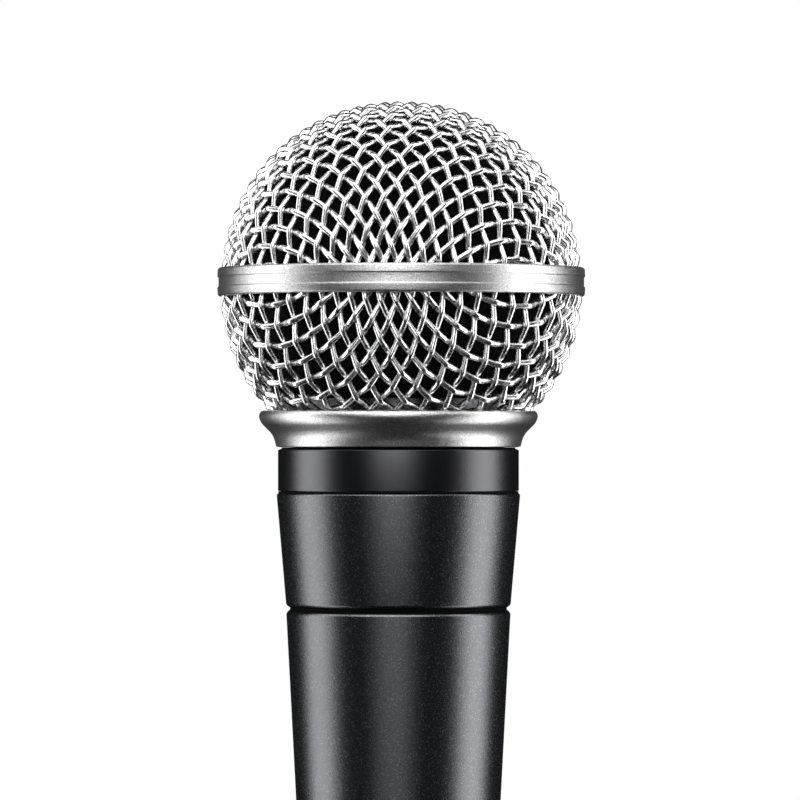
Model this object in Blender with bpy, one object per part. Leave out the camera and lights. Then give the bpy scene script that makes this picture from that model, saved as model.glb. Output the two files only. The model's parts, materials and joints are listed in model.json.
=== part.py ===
"""Dynamic vocal microphone: ball grille, moving-coil cartridge, tapered handle and three-pin socket.

Metres, +Z up. The origin is the centre of the socket's rim, and the microphone stands upright on that rim.
Right-hand threads join the grille to the cartridge housing, and the housing to the handle.
"""

import math

import bmesh
import bpy
from mathutils import Matrix, Vector

MM = 0.001

# Driving dimensions
LENGTH = 162.0 * MM
BAND_RADIUS = 25.5 * MM
BAND_LEVEL = 136.93 * MM  # the ball's equator
MESH_RADIUS = 24.8 * MM
MESH_THICKNESS = 1.5 * MM  # two crossing wires
COLLAR_TOP = 119.1 * MM
RING_RADIUS = 16.7 * MM
HOUSING_FOOT = 91.85 * MM
HANDLE_TOP = 91.55 * MM
HANDLE_TOP_RADIUS = 15.52 * MM
HANDLE_END_RADIUS = 11.5 * MM
SOCKET_RADIUS = 8.3 * MM
CASE_RADIUS = 12.8 * MM  # the cartridge's
THREAD_PITCH = 1.25 * MM

# What holds everywhere
GAP = 0.3 * MM  # between pieces that touch
SHEET = 0.5 * MM  # thin metal
THREAD_DEPTH = 0.6 * MM
THREAD_PLAY = 0.25 * MM
OUTER_SIDES = 32  # facets round the outside pieces and the threads
INNER_SIDES = 20
PIN_SIDES = 12

# Ball
DOME_HEIGHT = LENGTH - BAND_LEVEL
BOWL_DEPTH = 26.1 * MM  # the lower half's own semi-axis, which the collar cuts short
BALL_POWER = 2.1  # 2 would be an ellipse: pressed mesh has slightly fuller shoulders
MESH_GRIP = 1.0 * MM  # how far from the equator each half of the mesh ends, inside the band
FOAM_THICKNESS = 2.5 * MM
FOAM_MOUTH = 121.4 * MM

# Collar and housing
COLLAR_FOOT = COLLAR_TOP - 5.05 * MM
NECK_TOP = 121.0 * MM
NECK_RADIUS = 14.6 * MM
NECK_THREAD_ROOT = 14.7 * MM
NECK_THREAD_LOW = COLLAR_FOOT + GAP
HOUSING_BORE = 13.5 * MM
RING_TOP = COLLAR_FOOT - 0.4 * MM
RING_FOOT = 107.7 * MM
RING_BED = 15.7 * MM  # radius of the neck under the name ring
MOUNT_LOW = 104.1 * MM
MOUNT_HIGH = 109.6 * MM

# Spigot, which screws into the handle
SPIGOT_THREAD_ROOT = 13.1 * MM
SPIGOT_THREAD_LOW = 85.55 * MM
SPIGOT_THREAD_HIGH = SPIGOT_THREAD_LOW + 4 * THREAD_PITCH
SPIGOT_FOOT = 83.9 * MM
SPIGOT_BORE = 11.9 * MM

# Cartridge, from its rear to its front
TERMINAL_LOW = 92.9 * MM
TERMINAL_OFFSET = 4.0 * MM
BOARD_LOW = 96.6 * MM
BOARD_HIGH = 97.7 * MM
CHAMBER_LOW = BOARD_HIGH + GAP
CHAMBER_HIGH = 116.6 * MM
CHAMBER_RADIUS = 10.45 * MM
CASE_LOW = CHAMBER_HIGH + GAP
CASE_HIGH = 133.6 * MM
CASE_WALL = 1.2 * MM
YOKE_LOW = 118.5 * MM
YOKE_HIGH = 131.4 * MM
YOKE_RADIUS = CASE_RADIUS - CASE_WALL - GAP
YOKE_FLOOR = 2.3 * MM
MAGNET_LOW = YOKE_LOW + YOKE_FLOOR + GAP
MAGNET_HIGH = 130.4 * MM
MAGNET_RADIUS = 5.4 * MM
POLE_RADIUS = 5.3 * MM
POLE_HIGH = 133.2 * MM
COIL_INNER = 5.65 * MM
COIL_OUTER = 6.0 * MM
COIL_LOW = 131.0 * MM
PLATE_INNER = 6.4 * MM
SPACER_HIGH = 134.0 * MM
SPACER_INNER = 9.8 * MM
FILM = 0.3 * MM
FILM_LEVEL = SPACER_HIGH + FILM + 0.05 * MM
CAP_LOW = CASE_HIGH + GAP
CAP_HIGH = 141.5 * MM
CAP_WALL = 1.2 * MM

# Socket
SEAT_LEVEL = 15.8 * MM  # the insulator's face, inside the rim
INSULATOR_HIGH = 23.2 * MM
PIN_RADIUS = 1.2 * MM
PIN_CIRCLE = 4.2 * MM
PIN_TIP = 3.0 * MM
PIN_CUP = 27.6 * MM
CYLINDER_TOP = 14.5 * MM  # the handle is a plain cylinder below this level, and a cone above
SCREW_LEVEL = 20.0 * MM
SCREW_RADIUS = 1.1 * MM
SCREW_INNER_END = 8.6 * MM
SCREW_LENGTH = 2.6 * MM

# Transformer
CORE_LOW = 31.0 * MM
CORE_HIGH = 45.0 * MM
CORE_WIDTH = 15.0 * MM
CORE_DEPTH = 7.0 * MM
CORE_LEG = 3.0 * MM
BOBBIN_LOW = 33.8 * MM
BOBBIN_HIGH = 42.2 * MM
BOBBIN_WALL = 0.5 * MM
WINDING_MARGIN = 0.4 * MM  # of bobbin left bare at each end
WINDING_WIDTH = 9.6 * MM
WINDING_DEPTH = 14.0 * MM

# Leads, as the points that each one's curve passes through
LEAD_RADIUS = 0.6 * MM
CARTRIDGE_LEAD_ROUTE = (
    (4.0, 0, 92.5), (4.6, 0.6, 86), (5.8, 1.6, 79), (6.2, 2.6, 71), (5.6, 2.2, 63), (5.4, 1.6, 56), (5.3, 3.2, 50.5),
    (3.8, 5.2, 46), (2.6, 5.6, 42.2),
)
PIN_LEAD_ROUTES = (
    ((3.64, 2.1, 28.0), (3.4, 3.0, 29.2), (2.4, 5.2, 31.2), (2.0, 5.6, 33.9)),
    ((-3.64, 2.1, 28.0), (-3.4, 3.0, 29.2), (-2.4, 5.2, 31.2), (-2.0, 5.6, 33.9)),
    ((0, -4.2, 28.0), (0, -4.6, 29.2), (0, -5.5, 31.2), (0, -5.7, 33.9)),
)


def clear_scene():
    for obj in list(bpy.data.objects):
        bpy.data.objects.remove(obj)


def make_material(name, color, roughness, metallic):
    material = bpy.data.materials.new(name)
    material.use_nodes = True
    shader = material.node_tree.nodes["Principled BSDF"]
    shader.inputs["Base Color"].default_value = (*color, 1.0)
    shader.inputs["Roughness"].default_value = roughness
    shader.inputs["Metallic"].default_value = metallic
    return material


def mesh_from(bm, name):
    bmesh.ops.recalc_face_normals(bm, faces=bm.faces)
    mesh = bpy.data.meshes.new(name)
    bm.to_mesh(mesh)
    bm.free()
    return mesh


def add_piece(name, bm, material):
    """A named piece with smooth faces and sharp edges."""
    mesh = mesh_from(bm, name)
    mesh.materials.append(material)
    mesh.shade_smooth()
    mesh.set_sharp_from_angle(angle=math.radians(35))
    piece = bpy.data.objects.new(name, mesh)
    bpy.context.scene.collection.objects.link(piece)
    return piece


def add_cutter(name, bm):
    """A hidden tool for Booleans."""
    tool = bpy.data.objects.new(name, mesh_from(bm, name))
    bpy.context.scene.collection.objects.link(tool)
    tool.hide_render = True
    tool.display_type = "WIRE"
    return tool


def apply_boolean(piece, tool, operation="DIFFERENCE"):
    modifier = piece.modifiers.new(tool.name, "BOOLEAN")
    modifier.operation = operation
    modifier.object = tool


def add_box(bm, size, place):
    bmesh.ops.create_cube(bm, size=1.0, matrix=place @ Matrix.Diagonal((*size, 1.0)))


def add_cylinder(bm, radius, depth, place, sides=PIN_SIDES):
    bmesh.ops.create_cone(
        bm, cap_ends=True, segments=sides, radius1=radius, radius2=radius, depth=depth, matrix=place
    )


def at(x, y, z):
    return Matrix.Translation((x, y, z))


def turned(angle):
    return Matrix.Rotation(angle, 4, "Z")


def along_y(y, z):
    """A place on the YZ plane whose own Z axis lies along the world's Y."""
    return at(0, y, z) @ Matrix.Rotation(math.radians(90), 4, "X")


# ---------------------------------------------------------------- solids of revolution

def lathe(name, outline, material, sides=INNER_SIDES):
    """Turns (radius, level) points round the axis. An outline that starts on the axis is open, any other closed."""
    bm = bmesh.new()
    verts = [bm.verts.new((r, 0.0, z)) for r, z in outline]
    edges = [bm.edges.new(pair) for pair in zip(verts, verts[1:])]
    if outline[0][0] > 0:
        edges.append(bm.edges.new((verts[-1], verts[0])))
    bmesh.ops.spin(
        bm, geom=verts + edges, cent=(0, 0, 0), axis=(0, 0, 1), angle=math.tau, steps=sides, use_merge=True
    )
    bmesh.ops.remove_doubles(bm, verts=bm.verts, dist=1e-6)
    return add_piece(name, bm, material)


def ring(name, inner, outer, low, high, material, sides=INNER_SIDES):
    return lathe(name, [(inner, low), (outer, low), (outer, high), (inner, high)], material, sides)


def disc(name, radius, low, high, material, sides=INNER_SIDES):
    return lathe(name, [(0.0, low), (radius, low), (radius, high), (0.0, high)], material, sides)


def thread_column(thread, turn):
    """A thread's (radius, level) points at one angle, given in turns. Every row climbs one pitch in a turn."""
    low, high = thread["low"], thread["high"]
    column = []
    for row in range(-2, round((high - low) / THREAD_PITCH + 1) * 2):
        level = low + (row / 2 + turn) * THREAD_PITCH
        radius = thread["root"] + (THREAD_DEPTH if row % 2 else 0.0)
        if not low < level < high:
            radius = thread["end_radius"]
        column.append((radius, min(max(level, low), high)))
    return column[::-1] if thread["falling"] else column


def male_thread(root, low, high):
    """A thread on the outside of a piece, where the outline runs down."""
    return {"root": root, "low": low, "high": high, "end_radius": root, "falling": True}


def female_thread(root, low, high):
    """The thread inside a piece that takes the male one, where the outline runs up."""
    inner = root + THREAD_PLAY
    return {"root": inner, "low": low, "high": high, "end_radius": inner + THREAD_DEPTH, "falling": False}


def threaded_lathe(name, stretches, material):
    """A closed solid of revolution. Each stretch of its outline is a list of (radius, level) points or a thread."""
    bm = bmesh.new()
    columns = []
    for side in range(OUTER_SIDES + 1):
        turn = side / OUTER_SIDES
        outline = []
        for stretch in stretches:
            outline += thread_column(stretch, turn) if isinstance(stretch, dict) else stretch
        cosine, sine = math.cos(turn * math.tau), math.sin(turn * math.tau)
        columns.append([bm.verts.new((r * cosine, r * sine, z)) for r, z in outline])
    for left, right in zip(columns, columns[1:]):
        for i in range(len(left)):
            bm.faces.new((left[i - 1], left[i], right[i], right[i - 1]))
    bmesh.ops.remove_doubles(bm, verts=bm.verts, dist=1e-6)
    return add_piece(name, bm, material)


def ball_curve(radius, height, start_level, end_level, steps):
    """Profile points of the ball between two levels. A negative height means the half under the equator."""
    start, end = (
        math.asin(min(1.0, abs(level - BAND_LEVEL) / abs(height)) ** (BALL_POWER / 2))
        for level in (start_level, end_level)
    )
    points = []
    for step in range(steps + 1):
        angle = start + (end - start) * step / steps
        cosine = max(0.0, math.cos(angle))
        if cosine < 1e-6:
            cosine = 0.0
        level = BAND_LEVEL + height * math.sin(angle) ** (2 / BALL_POWER)
        points.append((radius * cosine ** (2 / BALL_POWER), level))
    return points


# ---------------------------------------------------------------- grille

def make_grille_dome(material):
    """The upper half of the ball, as a shell of the mesh's full thickness."""
    foot = BAND_LEVEL + MESH_GRIP
    inner_height = DOME_HEIGHT - MESH_THICKNESS
    inner = ball_curve(MESH_RADIUS - MESH_THICKNESS, inner_height, BAND_LEVEL + inner_height, foot, 7)
    outer = ball_curve(MESH_RADIUS, DOME_HEIGHT, foot, LENGTH, 7)
    return lathe("grille_dome", inner + outer, material, OUTER_SIDES)


def make_grille_bowl(material):
    """The lower half of the ball, open at the collar."""
    top = BAND_LEVEL - MESH_GRIP
    foot = COLLAR_TOP - 0.45 * MM
    outer = ball_curve(MESH_RADIUS, -BOWL_DEPTH, top, foot, 6)
    inner = ball_curve(MESH_RADIUS - MESH_THICKNESS, MESH_THICKNESS - BOWL_DEPTH, foot, top, 6)
    return lathe("grille_bowl", outer + inner, material, OUTER_SIDES)


def make_grille_band(material):
    """The ring round the equator: two beads, a shallow waist, and a web between the two halves of the mesh."""
    half = 1.98 * MM
    bead = 0.7 * MM  # from the equator to each bead's inner edge
    bevel = 0.25 * MM
    web = MESH_GRIP - GAP
    waist = BAND_RADIUS - 0.14 * MM
    skin = MESH_RADIUS + GAP
    upper = [
        (skin, web),
        (skin, half),
        (BAND_RADIUS - bevel, half),
        (BAND_RADIUS, half - bevel),
        (BAND_RADIUS, bead),
        (waist, bead - 0.1 * MM),
    ]
    lower = [(r, -z) for r, z in reversed(upper)]
    web_edge = [(MESH_RADIUS - MESH_THICKNESS, -web), (MESH_RADIUS - MESH_THICKNESS, web)]
    outline = [(r, BAND_LEVEL + z) for r, z in upper + lower + web_edge]
    return lathe("grille_band", outline, material, OUTER_SIDES)


def make_grille_collar(material):
    """The flared ring that holds the mesh. Its outside is a rounded lip over a hollow curve."""
    lip = [(18.25, 0.8), (18.9, 0.0), (19.1, 0.15), (19.33, 0.7), (19.2, 1.3), (18.88, 1.85)]
    flare = [(18.34, 2.4), (17.8, 2.95), (17.41, 3.5), (17.19, 4.05), (16.95, 4.95), (16.85, 5.05)]
    outside = [(r * MM, COLLAR_TOP - drop * MM) for r, drop in lip + flare]
    foot = [(RING_BED, COLLAR_FOOT)]
    thread = female_thread(NECK_THREAD_ROOT, NECK_THREAD_LOW, NECK_THREAD_LOW + 2.75 * THREAD_PITCH)
    shelf = [(RING_BED, COLLAR_TOP - 0.8 * MM)]
    return threaded_lathe("grille_collar", [outside, foot, thread, shelf], material)


def make_foam_windscreen(material):
    """The foam bag that lines both halves of the mesh, open at the neck."""
    radius = MESH_RADIUS - MESH_THICKNESS - GAP
    height = DOME_HEIGHT - MESH_THICKNESS - GAP
    depth = BOWL_DEPTH - MESH_THICKNESS - GAP
    outside = ball_curve(radius, height, LENGTH, BAND_LEVEL, 5)
    outside += ball_curve(radius, -depth, BAND_LEVEL, FOAM_MOUTH, 4)[1:]
    inner_radius = radius - FOAM_THICKNESS
    inside = ball_curve(inner_radius, FOAM_THICKNESS - depth, FOAM_MOUTH, BAND_LEVEL, 4)
    inside += ball_curve(inner_radius, height - FOAM_THICKNESS, BAND_LEVEL, LENGTH, 5)[1:]
    return lathe("foam_windscreen", outside + inside, material, INNER_SIDES + 4)


# ---------------------------------------------------------------- housing

def make_cartridge_housing(material):
    """The painted upper section: threaded neck, seat for the name ring, cone, and the spigot under it."""
    chamfer = 0.3 * MM
    neck = [
        (HOUSING_BORE, NECK_TOP),
        (NECK_RADIUS - chamfer, NECK_TOP),
        (NECK_RADIUS, NECK_TOP - chamfer),
        (NECK_RADIUS, NECK_THREAD_LOW + 3.5 * THREAD_PITCH),
    ]
    neck_thread = male_thread(NECK_THREAD_ROOT, NECK_THREAD_LOW, NECK_THREAD_LOW + 3 * THREAD_PITCH)
    ring_seat = [
        (NECK_THREAD_ROOT, RING_TOP),
        (RING_BED, RING_TOP),
        (RING_BED, RING_FOOT),
        (RING_RADIUS, RING_FOOT),
    ]
    cone = [
        (RING_RADIUS + 0.2 * MM, RING_FOOT - 0.25 * MM),
        (HANDLE_TOP_RADIUS + 0.05 * MM, HOUSING_FOOT + 0.55 * MM),
        (HANDLE_TOP_RADIUS - 0.15 * MM, HOUSING_FOOT + 0.25 * MM),
        (HANDLE_TOP_RADIUS - 0.45 * MM, HOUSING_FOOT),
        (SPIGOT_THREAD_ROOT, HOUSING_FOOT),
    ]
    spigot_thread = male_thread(SPIGOT_THREAD_ROOT, SPIGOT_THREAD_LOW, SPIGOT_THREAD_HIGH)
    spigot = [
        (SPIGOT_THREAD_ROOT - GAP, SPIGOT_THREAD_LOW),
        (SPIGOT_THREAD_ROOT - GAP, SPIGOT_FOOT),
        (SPIGOT_BORE, SPIGOT_FOOT),
        (SPIGOT_BORE, HOUSING_FOOT + 1.35 * MM),
    ]
    ledge = 0.9 * MM  # the shock mount rests on a ledge in the bore
    bore = [
        (HOUSING_BORE, HOUSING_FOOT + 3.15 * MM),
        (HOUSING_BORE, MOUNT_LOW - GAP - 1.0 * MM),
        (HOUSING_BORE - ledge, MOUNT_LOW - GAP - 1.0 * MM),
        (HOUSING_BORE - ledge, MOUNT_LOW - GAP),
        (HOUSING_BORE, MOUNT_LOW - GAP),
    ]
    stretches = [neck, neck_thread, ring_seat, cone, spigot_thread, spigot, bore]
    return threaded_lathe("cartridge_housing", stretches, material)


def make_name_ring(material):
    """A plain sleeve round the top of the housing."""
    bevel = 0.2 * MM
    bore, foot = RING_BED + GAP, RING_FOOT + GAP
    outline = [
        (bore, foot),
        (bore, RING_TOP),
        (RING_RADIUS - bevel, RING_TOP),
        (RING_RADIUS, RING_TOP - bevel),
        (RING_RADIUS, foot),
    ]
    return lathe("name_ring", outline, material, OUTER_SIDES)


def make_shock_mount(material):
    """The rubber ring, with a waist, that carries the cartridge."""
    inner, outer = CHAMBER_RADIUS + GAP, HOUSING_BORE - GAP
    lip, waist = 1.5 * MM, 1.0 * MM
    middle = (MOUNT_LOW + MOUNT_HIGH) / 2
    outline = [
        (inner, MOUNT_LOW),
        (outer, MOUNT_LOW),
        (outer, MOUNT_LOW + lip),
        (outer - waist, middle - GAP),
        (outer - waist, middle + GAP),
        (outer, MOUNT_HIGH - lip),
        (outer, MOUNT_HIGH),
        (inner, MOUNT_HIGH),
    ]
    return lathe("shock_mount", outline, material)


def make_retaining_ring(material):
    low, width = MOUNT_HIGH + GAP, 1.9 * MM
    outer = HOUSING_BORE - GAP
    return ring("retaining_ring", outer - width, outer, low, low + 2 * SHEET, material)


# ---------------------------------------------------------------- cartridge

def make_resonator_cap(material):
    """The perforated cap over the diaphragm."""
    inner = CASE_RADIUS - CAP_WALL + 0.2 * MM
    bevel = 0.6 * MM
    outline = [
        (0.0, CAP_HIGH - CAP_WALL),
        (inner, CAP_HIGH - CAP_WALL),
        (inner, CAP_LOW),
        (CASE_RADIUS, CAP_LOW),
        (CASE_RADIUS, CAP_HIGH - bevel),
        (CASE_RADIUS - bevel, CAP_HIGH),
        (0.0, CAP_HIGH),
    ]
    cap = lathe("resonator_cap", outline, material, OUTER_SIDES)
    holes = bmesh.new()
    hole_radius, hole_sides = 0.95 * MM, 8
    for count, circle in ((1, 0.0), (6, 3.6 * MM), (12, 7.4 * MM)):
        for hole in range(count):
            place = turned(math.tau * hole / count) @ at(circle, 0, CAP_HIGH - CAP_WALL / 2)
            add_cylinder(holes, hole_radius, 3 * CAP_WALL, place, hole_sides)
    apply_boolean(cap, add_cutter("cap_holes", holes))
    return cap


def make_cap_screen(material):
    high = CAP_HIGH - CAP_WALL - 0.4 * MM
    return disc("cap_screen", CASE_RADIUS - CAP_WALL - 0.2 * MM, high - 0.4 * MM, high, material)


def make_cartridge_case(material):
    """The moulded case round the magnet, with slots that let sound reach the diaphragm's back."""
    vent = 3.0 * MM  # radius of the hole to the rear chamber
    inner, floor = CASE_RADIUS - CASE_WALL, CASE_LOW + 1.3 * MM
    outline = [
        (vent, CASE_LOW),
        (CASE_RADIUS, CASE_LOW),
        (CASE_RADIUS, CASE_HIGH),
        (inner, CASE_HIGH),
        (inner, floor),
        (vent, floor),
    ]
    case = lathe("cartridge_case", outline, material, OUTER_SIDES)
    slots = bmesh.new()
    slot_count = 8
    slot_size = (3 * CASE_WALL, 3.2 * MM, 4.2 * MM)
    for slot in range(slot_count):
        angle = math.tau * (slot + 0.5) / slot_count
        add_box(slots, slot_size, turned(angle) @ at(inner, 0, (CASE_LOW + CASE_HIGH) / 2))
    apply_boolean(case, add_cutter("case_slots", slots))
    return case


def make_side_screen(material):
    """The cloth band over the case's slots."""
    half = 3.4 * MM
    middle = (CASE_LOW + CASE_HIGH) / 2 + 0.5 * MM
    inner = CASE_RADIUS + GAP
    return ring("side_screen", inner, inner + FILM, middle - half, middle + half, material, OUTER_SIDES)


def make_magnet_yoke(material):
    """The iron cup that carries the magnet's return flux."""
    inner = YOKE_RADIUS - 1.5 * MM
    outline = [
        (0.0, YOKE_LOW),
        (YOKE_RADIUS, YOKE_LOW),
        (YOKE_RADIUS, YOKE_HIGH),
        (inner, YOKE_HIGH),
        (inner, YOKE_LOW + YOKE_FLOOR),
        (0.0, YOKE_LOW + YOKE_FLOOR),
    ]
    return lathe("magnet_yoke", outline, material)


def make_magnet(material):
    return disc("magnet", MAGNET_RADIUS, MAGNET_LOW, MAGNET_HIGH, material)


def make_pole_piece(material):
    chamfer = 0.3 * MM
    outline = [
        (0.0, MAGNET_HIGH + GAP),
        (POLE_RADIUS, MAGNET_HIGH + GAP),
        (POLE_RADIUS, POLE_HIGH - chamfer),
        (POLE_RADIUS - chamfer, POLE_HIGH),
        (0.0, POLE_HIGH),
    ]
    return lathe("pole_piece", outline, material)


def make_front_plate(material):
    return ring("front_plate", PLATE_INNER, YOKE_RADIUS, YOKE_HIGH + GAP, POLE_HIGH, material)


def make_spacer_ring(material):
    return ring("spacer_ring", SPACER_INNER, YOKE_RADIUS, POLE_HIGH + GAP, SPACER_HIGH, material)


def make_diaphragm(material):
    """A domed centre and a half-round surround, pressed from one film."""
    dome_radius, dome_rise = 5.9 * MM, 1.9 * MM
    surround_radius, surround_rise = 1.9 * MM, 0.9 * MM
    rim_radius = 11.0 * MM
    steps = 4
    under = []
    for step in range(steps + 1):
        angle = math.radians(90) * step / steps
        under.append((dome_radius * math.sin(angle), FILM_LEVEL + dome_rise * math.cos(angle)))
    for step in range(1, 2 * steps + 1):
        angle = math.pi * step / (2 * steps)
        radius = dome_radius + surround_radius * (1 - math.cos(angle))
        under.append((radius, FILM_LEVEL + surround_rise * math.sin(angle)))
    under.append((rim_radius, FILM_LEVEL))
    over = [(r, z + FILM) for r, z in reversed(under)]
    return lathe("diaphragm", under + over, material)


def make_voice_coil(material):
    return ring("voice_coil", COIL_INNER, COIL_OUTER, COIL_LOW, FILM_LEVEL - GAP, material)


def make_rear_chamber(material):
    """The closed cup behind the magnet, whose air tunes the cartridge. The shock mount grips its wall."""
    wall, flange = 1.05 * MM, 1.6 * MM
    floor = CHAMBER_LOW + 1.2 * MM
    outline = [
        (0.0, CHAMBER_LOW),
        (CHAMBER_RADIUS, CHAMBER_LOW),
        (CHAMBER_RADIUS, CHAMBER_HIGH - flange),
        (CASE_RADIUS - GAP, CHAMBER_HIGH - flange),
        (CASE_RADIUS - GAP, CHAMBER_HIGH),
        (CHAMBER_RADIUS - wall, CHAMBER_HIGH),
        (CHAMBER_RADIUS - wall, floor),
        (0.0, floor),
    ]
    return lathe("rear_chamber", outline, material)


def make_terminal_board(material):
    return disc("terminal_board", 8.0 * MM, BOARD_LOW, BOARD_HIGH, material)


def make_terminal(name, side, material):
    """A solder lug under the board, with an eye for the lead."""
    high = BOARD_LOW - GAP
    eye_radius, eye_rise = 0.6 * MM, 1.1 * MM
    bm = bmesh.new()
    center = at(side * TERMINAL_OFFSET, 0, (TERMINAL_LOW + high) / 2)
    add_box(bm, (2.6 * MM, SHEET, high - TERMINAL_LOW), center)
    lug = add_piece(name, bm, material)
    eye = bmesh.new()
    place = at(side * TERMINAL_OFFSET, 0, 0) @ along_y(0, TERMINAL_LOW + eye_rise)
    add_cylinder(eye, eye_radius, 4 * SHEET, place, 8)
    apply_boolean(lug, add_cutter(name + "_eye", eye))
    return lug


# ---------------------------------------------------------------- handle

def make_handle_barrel(material):
    """The tapered handle. Its foot is the socket's shell, and its top takes the housing's spigot."""
    edge, rim_bevel = 0.4 * MM, 0.5 * MM
    thread_bore = SPIGOT_THREAD_ROOT + THREAD_PLAY + THREAD_DEPTH + 0.25 * MM
    outside = [
        (thread_bore, HANDLE_TOP),
        (HANDLE_TOP_RADIUS - edge, HANDLE_TOP),
        (HANDLE_TOP_RADIUS - 0.1 * MM, HANDLE_TOP - edge),
        (HANDLE_TOP_RADIUS, HANDLE_TOP - 2 * edge),
        (HANDLE_END_RADIUS, CYLINDER_TOP),
        (HANDLE_END_RADIUS, rim_bevel),
        (HANDLE_END_RADIUS - rim_bevel, 0.0),
    ]
    socket_top = 25.0 * MM
    bore = [
        (SOCKET_RADIUS + rim_bevel, 0.0),
        (SOCKET_RADIUS, rim_bevel),
        (SOCKET_RADIUS, socket_top),
        (SOCKET_RADIUS + 1.0 * MM, socket_top + 1.0 * MM),
        (SPIGOT_THREAD_ROOT - 0.5 * MM, SPIGOT_FOOT - 2 * GAP),
    ]
    thread = female_thread(SPIGOT_THREAD_ROOT, SPIGOT_THREAD_LOW, SPIGOT_THREAD_HIGH)
    barrel = threaded_lathe("handle_barrel", [outside, bore, thread], material)
    notch = bmesh.new()
    add_box(notch, (3.0 * MM, 3.0 * MM, 10.0 * MM), at(0, SOCKET_RADIUS, 0))
    apply_boolean(barrel, add_cutter("latch_notch", notch))
    hole = bmesh.new()
    add_cylinder(hole, SCREW_RADIUS + GAP, 6.0 * MM, along_y(-HANDLE_END_RADIUS + MM, SCREW_LEVEL))
    apply_boolean(barrel, add_cutter("lock_screw_hole", hole))
    return barrel


def pin_places():
    """The three pins' centres. Pins 1 and 2 are on the notch's side, +Y."""
    angles = [math.radians(30 + 120 * pin) for pin in range(3)]
    return [Vector((PIN_CIRCLE * math.cos(angle), PIN_CIRCLE * math.sin(angle), 0)) for angle in angles]


def make_socket_insulator(material):
    """The plastic insert that carries the pins."""
    radius = SOCKET_RADIUS - GAP
    outline = [
        (0.0, SEAT_LEVEL),
        (radius - GAP, SEAT_LEVEL),
        (radius, SEAT_LEVEL + GAP),
        (radius, INSULATOR_HIGH),
        (0.0, INSULATOR_HIGH),
    ]
    insulator = lathe("socket_insulator", outline, material, INNER_SIDES + 4)
    holes = bmesh.new()
    middle = (SEAT_LEVEL + INSULATOR_HIGH) / 2
    for place in pin_places():
        add_cylinder(holes, PIN_RADIUS + GAP, 12 * MM, at(place.x, place.y, middle))
    apply_boolean(insulator, add_cutter("pin_holes", holes))
    return insulator


def make_contact_pin(name, place, material):
    """A contact pin with a rounded tip below and a solder cup above."""
    cup_radius, cup_bore, cup_depth = 1.0 * MM, 0.6 * MM, 2.0 * MM
    outline = [
        (0.0, PIN_TIP),
        (0.8 * MM, PIN_TIP + 0.2 * MM),
        (PIN_RADIUS, PIN_TIP + 0.9 * MM),
        (PIN_RADIUS, INSULATOR_HIGH + 0.8 * MM),
        (cup_radius, INSULATOR_HIGH + 1.1 * MM),
        (cup_radius, PIN_CUP),
        (cup_bore, PIN_CUP),
        (cup_bore, PIN_CUP - cup_depth),
        (0.0, PIN_CUP - cup_depth),
    ]
    pin = lathe(name, outline, material, PIN_SIDES)
    pin.location = place
    return pin


def make_lock_screw(material):
    """The slotted screw in the handle's side that holds the insulator."""
    slot_width, slot_depth = 0.5 * MM, 0.5 * MM
    screw = disc("lock_screw", SCREW_RADIUS, 0.0, SCREW_LENGTH, material, PIN_SIDES)
    screw.rotation_euler = (math.radians(90), 0, 0)
    screw.location = (0, -SCREW_INNER_END, SCREW_LEVEL)
    slot = bmesh.new()
    head = SCREW_INNER_END + SCREW_LENGTH
    add_box(slot, (3 * SCREW_RADIUS, 2 * slot_depth, slot_width), at(0, -head, SCREW_LEVEL))
    apply_boolean(screw, add_cutter("screw_slot", slot))
    return screw


def make_ground_spring(material):
    """The bent strip that ties the handle's metal to the insulator's back."""
    width, thickness, leg = 3.0 * MM, 0.4 * MM, 3.0 * MM
    outer = 7.8 * MM
    low = INSULATOR_HIGH + GAP
    upright = bmesh.new()
    add_box(upright, (width, thickness, leg), at(0, outer - thickness / 2, low + leg / 2))
    spring = add_piece("ground_spring", upright, material)
    foot = bmesh.new()
    add_box(foot, (width, leg, thickness), at(0, outer - leg / 2, low + thickness / 2))
    apply_boolean(spring, add_cutter("spring_foot", foot), "UNION")
    return spring


def square_tube(name, outer, inner, low, high, material):
    """A rectangular sleeve. outer and inner are its sizes in X and Y."""
    body = bmesh.new()
    middle = at(0, 0, (low + high) / 2)
    add_box(body, (*outer, high - low), middle)
    tube = add_piece(name, body, material)
    hole = bmesh.new()
    add_box(hole, (*inner, 2 * (high - low)), middle)
    apply_boolean(tube, add_cutter(name + "_hole", hole))
    return tube


def make_transformer_core(material):
    """Stacked laminations: a frame with a middle leg between two windows."""
    middle = (CORE_LOW + CORE_HIGH) / 2
    height = CORE_HIGH - CORE_LOW
    body = bmesh.new()
    add_box(body, (CORE_WIDTH, CORE_DEPTH, height), at(0, 0, middle))
    core = add_piece("transformer_core", body, material)
    side_leg = 0.6 * CORE_LEG
    window_width = (CORE_WIDTH - CORE_LEG) / 2 - side_leg
    windows = bmesh.new()
    for side in (-1, 1):
        place = at(side * (CORE_LEG + window_width) / 2, 0, middle)
        add_box(windows, (window_width, 2 * CORE_DEPTH, height - 1.6 * CORE_LEG), place)
    apply_boolean(core, add_cutter("core_windows", windows))
    return core


def make_transformer_bobbin(material):
    inner = (CORE_LEG + 2 * GAP, CORE_DEPTH + 2 * GAP)
    outer = (inner[0] + 2 * BOBBIN_WALL, inner[1] + 2 * BOBBIN_WALL)
    return square_tube("transformer_bobbin", outer, inner, BOBBIN_LOW, BOBBIN_HIGH, material)


def make_transformer_winding(material):
    margin = 2 * (2 * GAP + BOBBIN_WALL)
    inner = (CORE_LEG + margin, CORE_DEPTH + margin)
    low, high = BOBBIN_LOW + WINDING_MARGIN, BOBBIN_HIGH - WINDING_MARGIN
    return square_tube("transformer_winding", (WINDING_WIDTH, WINDING_DEPTH), inner, low, high, material)


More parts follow.
